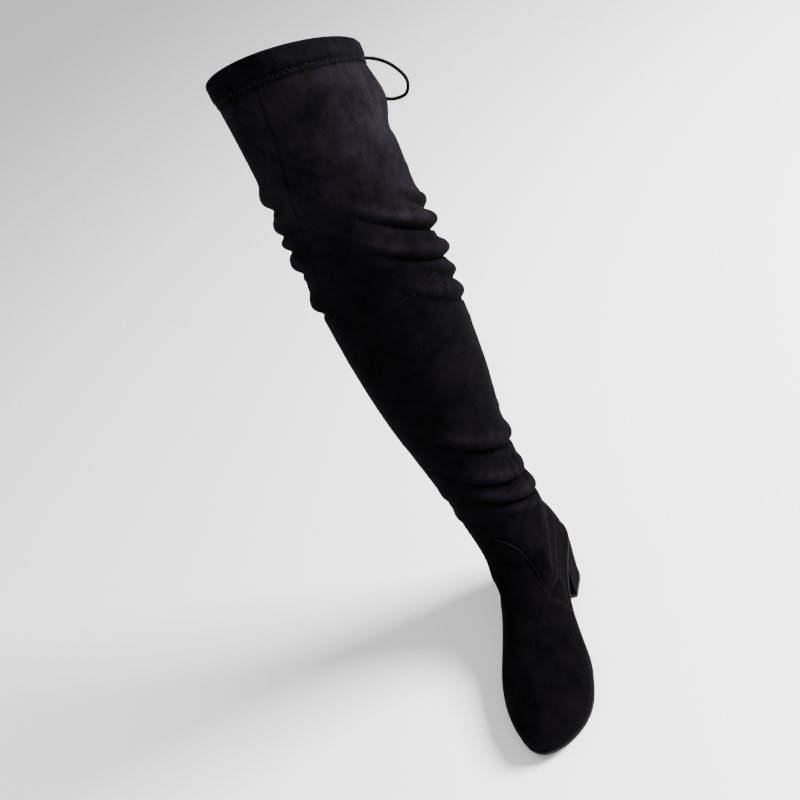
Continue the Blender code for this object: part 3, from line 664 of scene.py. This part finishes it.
def ribbed_material(name, dark, light, rib_mm, depth_mm, wave, **sockets):
    """Fine ribs for knit and for twisted thread, with painted shade in their grooves and a painted highlight
    on their crests.
    """
    made, tree, shader = start_material(name, **sockets)
    place = add_node(tree, "ShaderNodeTexCoord").outputs["Object"]
    ribs = add_node(tree, "ShaderNodeTexWave", {"Scale": 1 / (rib_mm * math.tau * MM), **wave},
                    {"Vector": place})
    # Grooves painted darker and crests lighter: painted shade and painted highlight on the ribs
    colour = add_node(tree, "ShaderNodeValToRGB", links={"Fac": ribs.outputs["Fac"]},
                      stops=((0.2, dark), (0.9, light)))
    tree.links.new(colour.outputs["Color"], shader.inputs["Base Color"])
    bump = add_node(tree, "ShaderNodeBump", {"Strength": 0.3, "Distance": depth_mm * MM},
                    {"Height": ribs.outputs["Fac"]})
    tree.links.new(bump.outputs["Normal"], shader.inputs["Normal"])
    return made


def thread_material(name, dark, light, gloss, ply_mm=0.5):
    """Twisted polyester thread: slanted plies that catch the light, drawn coarser than their real 0.2 mm."""
    return ribbed_material(name, dark, light, ply_mm, 0.1, {"bands_direction": "DIAGONAL"},
                           Roughness=0.65, Specular_IOR_Level=gloss)


def knit_material(name, dark, light, rib_mm=0.8):
    """Brushed polyester knit: fine vertical wales with painted shade between them, matt with a faint bloom.
    """
    return ribbed_material(name, dark, light, rib_mm, 0.2, {"Distortion": 1.0},
                           Roughness=0.88, Sheen_Weight=0.03, Specular_IOR_Level=0.03)


SUEDE = suede_material("Faux suede, brushed polyester", "#060507", "#121014")
CUFF_SUEDE = suede_material("Faux suede, turned hem", "#08070a", "#0b0a0d")
CORD_SUEDE = suede_material("Faux suede lace", "#171518", "#171518", cloud_mm=12, nap_mm=0.5)
LINING = knit_material("Brushed tricot lining", "#08070a", "#111014")
SOCK = knit_material("Microfibre sock", "#0c0b0e", "#141317", rib_mm=1.0)
SOLE_RUBBER = rubber_material("Moulded sole rubber", "#050404", "#0a0909", 0.72)
HEEL_RUBBER = rubber_material("Hard heel rubber", "#0b0807", "#17110e", 0.62)
THREAD = thread_material("Spun polyester thread", "#060507", "#141216", 0.02)
TOPSTITCH_THREAD = thread_material("Filament polyester thread", "#0b0a0c", "#1f1c22", 0.08)


# Meshes

def add_mesh(name, points, faces, materials, indices=None, painted_shading=None):
    data = bpy.data.meshes.new(name)
    data.from_pydata([tuple(p) for p in points], [], [tuple(int(i) for i in f) for f in faces])
    for kind in materials:
        data.materials.append(kind)
    if indices is not None:
        data.polygons.foreach_set("material_index", np.asarray(indices, dtype=np.int32))
    # Painted light and shade, kept on the points for the suede's colour
    if painted_shading is not None:
        data.attributes.new("painted_shading", "FLOAT", "POINT").data.foreach_set("value", painted_shading.astype(np.float32))
    data.validate()
    data.update()
    data.shade_smooth()
    data.set_sharp_from_angle(angle=math.radians(SHARP_FROM))
    item = bpy.data.objects.new(name, data)
    bpy.context.scene.collection.objects.link(item)
    return item


def dress(item, node):
    """Lets a piece stand for a solid of the part: hangs it on the root body and hides the solid."""
    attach(item, "root")
    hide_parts(node)
    return item


def grid(rows, columns):
    """Rows and columns of numbers as two arrays of one shape."""
    return np.repeat(rows[:, None], len(columns), axis=1), np.repeat(columns[None, :], len(rows), axis=0)


def rings_through(*stretches):
    """Ring numbers through stretches, each with its start, its end and its number of rings."""
    parts = [np.linspace(start, end, count) for start, end, count in stretches]
    return np.concatenate([parts[0]] + [part[1:] for part in parts[1:]])


def panel(name, outer, inner, around, materials, painted_shading):
    """Closed hollow panel from two grids of points. around says that its rows go right round."""
    rows, columns = outer.shape[:2]
    if around:
        outer, inner, painted_shading = outer[:, :-1], inner[:, :-1], painted_shading[:, :-1]
        columns -= 1
    painted_shading = np.concatenate((painted_shading.ravel(), np.zeros(painted_shading.size)))
    points = np.concatenate((outer.reshape(-1, 3), inner.reshape(-1, 3)))
    back = rows * columns
    span = columns if around else columns - 1
    faces, kinds = [], []
    for i in range(rows - 1):
        for j in range(span):
            a, b = i * columns + j, i * columns + (j + 1) % columns
            c, d = b + columns, a + columns
            faces.append((a, b, c, d))
            faces.append((back + a, back + d, back + c, back + b))
            kinds += [0, 1]
        if not around:
            a, d = i * columns, (i + 1) * columns
            faces.append((a, d, back + d, back + a))
            a, d = a + columns - 1, d + columns - 1
            faces.append((a, back + a, back + d, d))
            kinds += [0, 0]
    for i, flip in ((0, True), (rows - 1, False)):
        for j in range(span):
            a, b = i * columns + j, i * columns + (j + 1) % columns
            faces.append((a, back + a, back + b, b) if flip else (a, b, back + b, back + a))
            kinds.append(0)
    return add_mesh(name, points, faces, materials, kinds, painted_shading=painted_shading)


# Upper panels

knee_low = ring_at_height(KNEE_SEAM_HEIGHT - GAP / 2)
knee_high = ring_at_height(KNEE_SEAM_HEIGHT + GAP / 2)
cuff_low = ring_at_height(RIM_HEIGHT - CUFF_DEPTH - GAP / 2)
cuff_high = ring_at_height(RIM_HEIGHT - CUFF_DEPTH + GAP / 2)
throat = seam_top()


def seam_curve(clearance, lift):
    """Points along the vamp seam, from the medial sole over the throat to the lateral sole."""
    rings = rings_through((0, 11, 220), (11, seam_top(clearance), 260))
    turns = seam_turn(rings, clearance)
    turns[-1] = 0.0
    medial = skin(rings, turns, lift, wrinkled=False)
    lateral = skin(rings, -turns, lift, wrinkled=False)
    return np.concatenate((medial, lateral[-2::-1]))


def distance_to(line, points):
    """Distance of each point from a close row of points."""
    tree = kdtree.KDTree(len(line))
    for i, place in enumerate(line):
        tree.insert(place, i)
    tree.balance()
    return np.array([tree.find(place)[2] for place in points.reshape(-1, 3)]).reshape(points.shape[:-1])


vamp_edge = seam_curve(0.0, 0.0)


def edge_shares(count, tight):
    """Shares from 0 to 1 that lie closer together at both ends."""
    even = np.linspace(0, 1, count + 1)
    return mix(even, (1 - np.cos(np.pi * even)) / 2, tight)


def back_seam(turn):
    """Shallow pressed groove down the back of the leg, as a lift."""
    away = np.abs((turn % (2 * np.pi)) - np.pi) * SHAFT_WIDTH / 2
    return soft_bands(away / MM, BACK_SEAM_RELIEF) * MM


def front_seam_turn(height):
    return np.radians(front_seam_degrees(height / MM)[0])


def make_vamp():
    """Vamp with a folded edge over the shaft and a stitch groove inside it."""
    rows = rings_through((0, 8, 62), (8, throat - 0.5, 34), (throat - 0.5, throat - 0.01, 16))
    edge = seam_turn(rows)[:, None]
    ring, share = grid(rows, edge_shares(128, 0.75))
    turn = mix(-edge, edge, share)
    flat = skin(ring, turn, 0.0, wrinkled=False)
    away = distance_to(vamp_edge, flat)
    rounded = np.sqrt(1 - (1 - np.clip(away / VAMP_EDGE_ROLL, 0, 1)) ** 2)
    lift = mix(VAMP_EDGE_SHARE, 1.0, rounded) * VAMP_LIFT + soft_bands(away / MM, VAMP_RELIEF) * MM
    inside = mix(VAMP_OVER_LAP, VAMP_LIFT - WALL - GAP, ease((away - VAMP_LAP) / VAMP_LAP))
    # Painted highlight on the vamp's rolled edge and painted shade in its stitch groove, over the folds'
    # painted light and shade
    painted_shading = painted_fold_light(flat[..., 2], turn) + soft_bands(away / MM, VAMP_PAINTED_LIGHT_AND_SHADE)
    outer, inner = skin(ring, turn, lift), skin(ring, turn, inside, wrinkled=False)
    dress(panel("vamp_suede", outer, inner, False, [SUEDE, LINING], painted_shading), "vamp")


def make_shaft_lower():
    """Quarter, counter and leg in one panel, tucked under the vamp's edge."""
    lap_top = seam_top(-VAMP_LAP)
    low = rings_through((0, 8, 48), (8, lap_top - 0.5, 24), (lap_top - 0.5, lap_top - 0.03, 8))
    high = np.linspace(lap_top, knee_low, 158)
    edge = np.concatenate((seam_turn(low, -VAMP_LAP), np.zeros(len(high))))[:, None]
    ring, share = grid(np.concatenate((low, high)), np.linspace(0, 1, 191))
    turn = mix(edge, 2 * np.pi - edge, share)
    flat = bare_skin(ring, turn)
    under_knee = (flat[..., 2] - skin_height(knee_low, turn)) / MM
    lift = back_seam(turn) + soft_bands(under_knee, KNEE_SEAM_RELIEF) * MM
    # Painted light and shade of the folds, and painted shade under the vamp's lapped edge
    painted_shading = painted_fold_light(flat[..., 2], turn) + soft_bands(distance_to(vamp_edge, flat) / MM, VAMP_SEAM_PAINTED_SHADE)
    outer, inner = skin(ring, turn, lift), skin(ring, turn, -WALL, wrinkled=False)
    dress(panel("shaft_lower_suede", outer, inner, False, [SUEDE, LINING], painted_shading), "shaft_lower")


def make_shaft_upper():
    """Thigh panel: a pressed seam down its front between two rows of stitches."""
    lap = ring_at_height(KNEE_SEAM_HEIGHT - SEAM_LAP)
    rows = np.concatenate(((lap, mix(lap, knee_high, 0.6)), np.linspace(knee_high, cuff_low, 120)))
    # Columns from the back round to the back, closer together at the front seam
    shares = np.linspace(0, 1, 205)
    ring, turn = grid(rows, (shares + 0.5) * 2 * np.pi + 0.22 * np.sin(shares * 2 * np.pi))
    height = bare_skin(ring, turn)[..., 2]
    aside = (turn - front_seam_turn(height) + np.pi) % (2 * np.pi) - np.pi
    from_seam = np.abs(aside) * SHAFT_WIDTH / 2 / MM
    under_cuff = (height - skin_height(cuff_low, turn)) / MM
    relief = soft_bands(from_seam, FRONT_SEAM_RELIEF) + soft_bands(under_cuff, CUFF_SEAM_RELIEF)
    # Painted light and shade of the folds, and painted shade in the front seam's groove and under the cuff's
    # edge
    painted_shading = painted_fold_light(height, turn)
    painted_shading = painted_shading + soft_bands(from_seam, FRONT_SEAM_PAINTED_SHADE) + soft_bands(under_cuff, CUFF_SEAM_PAINTED_SHADE)
    in_lap = ring < knee_high
    outer = skin(ring, turn, relief * MM + back_seam(turn))
    inner = skin(ring, turn, np.where(in_lap, -LIP, -WALL), wrinkled=in_lap)
    dress(panel("shaft_upper_suede", outer, inner, True, [SUEDE, LINING], painted_shading), "shaft_upper")


def make_cuff():
    """Turned hem that holds the drawstring: puffed between its stitches and its rolled rim."""
    top = ring_at_height(RIM_HEIGHT - RIM_ROLL)
    lap = ring_at_height(RIM_HEIGHT - CUFF_DEPTH - SEAM_LAP)
    shares, swell = np.array(CUFF_SWELL).T
    arcs = np.radians(RIM_ARCS)
    facing = np.full(len(shares), -RIM_INSET - RIM_ROLL)
    facing[:2] = -WALL
    rows = ((lap, mix(lap, cuff_high, 0.5)), mix(cuff_high, top, shares), np.full(len(arcs), top))
    rows = np.concatenate(rows)
    lifts = np.concatenate(((0.0, 0.10 * MM), swell * MM, -RIM_INSET + RIM_ROLL * np.cos(arcs)))
    insides = np.concatenate(((-LIP, -LIP), facing, -RIM_INSET - RIM_ROLL * np.cos(arcs)))
    raises = np.concatenate((np.zeros(len(shares) + 2), RIM_ROLL * np.sin(arcs)))
    turns = np.linspace(0, 2 * np.pi, 281)
    ring, turn = grid(rows, turns)
    lift, inside, raised = (grid(values, turns)[0] for values in (lifts, insides, raises))
    # Painted shade along the foot of the puffed hem, by its stitches
    painted_shading = soft_bands((skin_height(ROWS, turn) - skin_height(ring, turn)) / MM, HEM_PAINTED_SHADE)
    outer = skin(ring, turn, lift, raised)
    inner = skin(ring, turn, inside, raised, wrinkled=ring < cuff_high)
    dress(panel("cuff_suede", outer, inner, True, [CUFF_SUEDE, CUFF_SUEDE], painted_shading), "cuff")


make_vamp()
make_shaft_lower()
make_shaft_upper()
make_cuff()


# Stitches

def stitch_row(name, pairs, radius, thread=THREAD, sides=6):
    """One object of sewn stitches. Each pair is a start and an end point with the outward normal there."""
    points, faces = [], []
    for start, end, normal in pairs:
        across = unit(np.cross(normal, unit(end - start)))
        first = len(points)
        for share, height, width in STITCH_FORM:
            centre = mix(start, end, share) + normal * height * STITCH_RISE
            for k in range(sides):
                a = math.tau * k / sides
                points.append(centre + radius * width * (math.cos(a) * across + 0.8 * math.sin(a) * normal))
        last = first + (len(STITCH_FORM) - 1) * sides
        for i in range(first, last, sides):
            for k in range(sides):
                a, b = i + k, i + (k + 1) % sides
                faces.append((a, b, b + sides, a + sides))
        faces.append(tuple(first + k for k in reversed(range(sides))))
        faces.append(tuple(last + k for k in range(sides)))
    item = add_mesh(name, points, faces, [thread])
    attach(item, "root")


def along_line(line, normals, length, pitch):
    """Start, end and normal of straight stitches along a close row of points."""
    reach = reach_along(line)
    places = np.arange(pitch / 2, reach[-1] - length, pitch)

    def at(values, x):
        return np.stack([np.interp(x, reach, values[:, k]) for k in range(3)], axis=-1)

    middles = unit(at(normals, places + length / 2))
    return list(zip(at(line, places), at(line, places + length), middles))


def surface_line(rings, turns, lift):
    """Points and normals of a line on the boot's finished skin."""
    aside, step = 0.02, 0.04
    across = skin(rings, turns + aside, lift, wrinkled=False)
    across = across - skin(rings, turns - aside, lift, wrinkled=False)
    up = skin(np.minimum(rings + step, ROWS), turns, lift, wrinkled=False)
    up = up - skin(rings - step, turns, lift, wrinkled=False)
    return skin(rings, turns, lift), unit(np.cross(across, up))


def zigzag(name, ring, lift, half_height, step, radius):
    """Zigzag stitches right round a ring."""
    round_about = skin_frame(ring, np.linspace(0, 2 * np.pi, 200))[0]
    count = int(round(path_length(round_about) / step / 2)) * 2
    turns = np.linspace(0, 2 * np.pi, count + 1)
    line, normals = surface_line(ring, turns, lift)
    ups = skin_frame(ring, turns)[2]
    side = np.where(np.arange(len(turns)) % 2 == 0, 1.0, -1.0)
    corners = line + ups * (side * half_height)[:, None]
    pairs = [(corners[i], corners[i + 1], unit(normals[i] + normals[i + 1])) for i in range(count)]
    stitch_row(name, pairs, radius)


def reach_along(path):
    """Distance of each point of a path from its start, along the path."""
    return np.concatenate(([0.0], np.cumsum(np.linalg.norm(np.diff(path, axis=0), axis=1))))


def path_length(path):
    return float(reach_along(path)[-1])


def make_zigzags():
    hem = mix(cuff_high, ring_at_height(RIM_HEIGHT), 0.11)
    zigzag("hem_zigzag_stitches", hem, *HEM_ZIGZAG)
    zigzag("knee_zigzag_stitches", knee_high + 0.015, *KNEE_ZIGZAG)


def sew(name, rings, both_turns, stitch, thread=THREAD):
    """One object of straight stitches along two lines over the same rings."""
    lift, length, pitch, radius = stitch
    pairs = []
    for turns in both_turns:
        line, normals = surface_line(rings, turns, lift)
        pairs += along_line(line, normals, length, pitch)
    stitch_row(name, pairs, radius, thread)


def make_front_seam_stitches():
    """Two rows down the thigh, one on each side of its front seam."""
    rings = np.linspace(knee_high + 0.02, cuff_low - 0.02, 240)
    seam = front_seam_turn(skin_height(rings, 0.0))
    aside = FRONT_SEAM_HALF / (SHAFT_WIDTH / 2)
    sew("front_seam_stitches", rings, (seam - aside, seam + aside), FRONT_STITCH)


def make_vamp_topstitch():
    """Topstitch in the groove inside the vamp's folded edge."""
    rings = rings_through((0.25, 11, 160), (11, seam_top(-VAMP_STITCH_INSET) - 0.002, 160))
    turns = seam_turn(rings, -VAMP_STITCH_INSET)
    sew("vamp_topstitch", rings, (turns, -turns), VAMP_STITCH, TOPSTITCH_THREAD)


def ring_of(height, turn):
    """Ring number at which the bare skin reaches a height at a turn."""
    rings = np.linspace(0.05, 12, 240)
    return float(np.interp(height, skin_height(rings, turn), rings))


def make_counter_stitches():
    """Stitch row that follows the top of the counter round the heel."""
    degrees = np.linspace(*COUNTER_ENDS, 160)
    turns = np.radians(degrees)
    rings = np.array([ring_of(h * MM, turn) for h, turn in zip(counter_height(degrees)[0], turns)])
    sew("counter_stitches", rings, (turns, -turns), COUNTER_STITCH, TOPSTITCH_THREAD)


make_zigzags()
make_front_seam_stitches()
make_vamp_topstitch()
make_counter_stitches()


# Tie

def smooth_route(route, spacing):
    """Points at even spacing along a smooth curve through a route's own points."""
    route = np.array(route)
    reach = reach_along(route)
    point_at = smooth_curve(np.column_stack((reach, route)))
    count = max(int(round(reach[-1] / spacing)), 2)
    return point_at(np.linspace(0, reach[-1], count + 1)).T


def cord_tube(name, path, diameter, sides=12, twist=0.12):
    """Suede lace, slightly oval, whose mesh winds slowly round it."""
    path = np.asarray(path)
    along = unit(np.gradient(path, axis=0))
    across = unit(np.cross(along[0], (0.3, 0.2, 0.9)))
    points = []
    for i, (p, t) in enumerate(zip(path, along)):
        across = unit(across - t * np.dot(across, t))
        other = np.cross(t, across)
        for k in range(sides):
            a = math.tau * k / sides + i * twist
            radius = diameter / 2 * (0.94 + 0.06 * math.cos(2 * a))
            points.append(p + radius * (math.cos(a) * across + math.sin(a) * other))
    n = len(path)
    faces = []
    for i in range(n - 1):
        for k in range(sides):
            a, b = i * sides + k, i * sides + (k + 1) % sides
            faces.append((a, b, b + sides, a + sides))
    bulge = diameter * 0.15
    points += [path[0] - along[0] * bulge, path[-1] + along[-1] * bulge]
    first, last = len(points) - 2, len(points) - 1
    for k in range(sides):
        faces.append((first, (k + 1) % sides, k))
        faces.append((last, (n - 1) * sides + k, (n - 1) * sides + (k + 1) % sides))
    return add_mesh(name, points, faces, [CORD_SUEDE])


def make_tie():
    """Knot against the back of the cuff, two leads out of the channel, two loops and two tails."""
    channel = mix(ring_at_height(RIM_HEIGHT - CUFF_DEPTH), ROWS, CHANNEL_SHARE)
    back = skin(channel, math.pi, CUFF_LIFT, wrinkled=False)
    centre = np.array((back[0], back[1] + KNOT_SIZE[1] / 2 + 2 * GAP, back[2]))
    knot = make_knot(centre)
    for side, name in ((1, "medial"), (-1, "lateral")):
        turn = math.pi - side * LEAD_SPREAD / SHAFT_WIDTH
        outlet = skin(channel, turn, CUFF_LIFT + CORD / 2 + 2 * GAP, wrinkled=False)
        inboard = centre + np.array((side * (KNOT_SIZE[0] / 2 + 2 * GAP), LEAD_BEHIND_KNOT, 0))
        between = np.array((mix(inboard[0], outlet[0], 0.5), mix(inboard[1], outlet[1], 0.35), centre[2]))
        mirror = np.array((side, 1, 1))
        lead = make_lace(f"drawstring_lead_{name}", smooth_route((outlet, between, inboard), ROUTE_STEP))
        route = smooth_route(centre + np.array(LOOP_ROUTE) * mirror, ROUTE_STEP)
        loop = make_lace(f"drawstring_loop_{name}", route)
        route = smooth_route(centre + np.array(TAIL_ROUTE) * mirror, ROUTE_STEP)
        tail = make_lace(f"drawstring_tail_{name}", route)


def make_lace(node, route):
    return dress(cord_tube(node + "_lace", route, CORD), node)


def make_knot(centre):
    """Knot of the bow: one closed turn of lace wound over itself, about as large as KNOT_SIZE."""
    path = []
    for i in range(120):
        t = math.tau * i / 120
        x = (KNOT_SIZE[0] / 2 - CORD / 2) * (math.sin(t) + 0.35 * math.sin(3 * t)) / 1.2
        y = (KNOT_SIZE[1] / 2 - CORD / 2) * math.cos(2 * t + 0.4)
        z = (KNOT_SIZE[2] / 2 - CORD / 2) * (math.cos(t) - 0.3 * math.cos(3 * t)) / 1.15
        path.append(centre + np.array((x, y, z)))
    path.append(path[0])
    return dress(cord_tube("drawstring_knot_lace", path, CORD * 1.1), "drawstring_knot")


def finish_solids():
    """Finishes of the solids that the scene keeps as they are."""
    finishes = {"outsole": SOLE_RUBBER, "heel_block": SUEDE, "heel_top_piece": HEEL_RUBBER, "insole": SOCK}
    for node, finish in finishes.items():
        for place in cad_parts[node].material_slots:
            place.material = finish


make_tie()
finish_solids()


# Floor, light and camera

def make_floor():
    bpy.ops.mesh.primitive_plane_add(size=FLOOR_SIZE, location=(0, 0, -FLOOR_DROP))
    floor = bpy.context.object
    floor.name = "floor"
    made, tree, shader = start_material("Pale matt floor", Roughness=0.9, Specular_IOR_Level=0.1)
    shader.inputs["Base Color"].default_value = linear("#f2f1f1")
    floor.data.materials.append(made)


def make_light(name, place, target, size, power):
    data = bpy.data.lights.new(name, "AREA")
    data.size = size
    data.energy = power
    item = bpy.data.objects.new(name, data)
    item.location = place
    item.rotation_euler = (Vector(target) - Vector(place)).to_track_quat("-Z", "Y").to_euler()
    bpy.context.scene.collection.objects.link(item)


def make_camera():
    azimuth, yaw = math.radians(CAMERA_AZIMUTH), math.radians(CAMERA_YAW)
    pitch, roll = math.radians(CAMERA_PITCH), math.radians(CAMERA_ROLL)
    place = Vector((CAMERA_REACH * math.sin(azimuth), -CAMERA_REACH * math.cos(azimuth), CAMERA_HEIGHT))
    forward = Vector((-math.sin(yaw) * math.cos(pitch), math.cos(yaw) * math.cos(pitch), -math.sin(pitch)))
    level = Vector((math.cos(yaw), math.sin(yaw), 0))
    upright = level.cross(forward)
    right = level * math.cos(roll) + upright * math.sin(roll)
    up = -level * math.sin(roll) + upright * math.cos(roll)
    data = bpy.data.cameras.new("camera")
    data.sensor_width = CAMERA_SENSOR
    data.lens = CAMERA_FOCUS_PIXELS / PHOTO_PIXELS * CAMERA_SENSOR
    data.clip_start = 0.01
    item = bpy.data.objects.new("camera", data)
    item.matrix_world = Matrix((
        (right.x, up.x, -forward.x, place.x),
        (right.y, up.y, -forward.y, place.y),
        (right.z, up.z, -forward.z, place.z),
        (0, 0, 0, 1),
    ))
    bpy.context.scene.collection.objects.link(item)
    bpy.context.scene.camera = item


def make_world():
    world = bpy.data.worlds.new("Studio")
    world.use_nodes = True
    background = world.node_tree.nodes["Background"]
    background.inputs["Color"].default_value = (1, 1, 1, 1)
    background.inputs["Strength"].default_value = WORLD_STRENGTH
    bpy.context.scene.world = world


make_floor()
make_world()
for light in LIGHTS:
    make_light(*light)
make_camera()
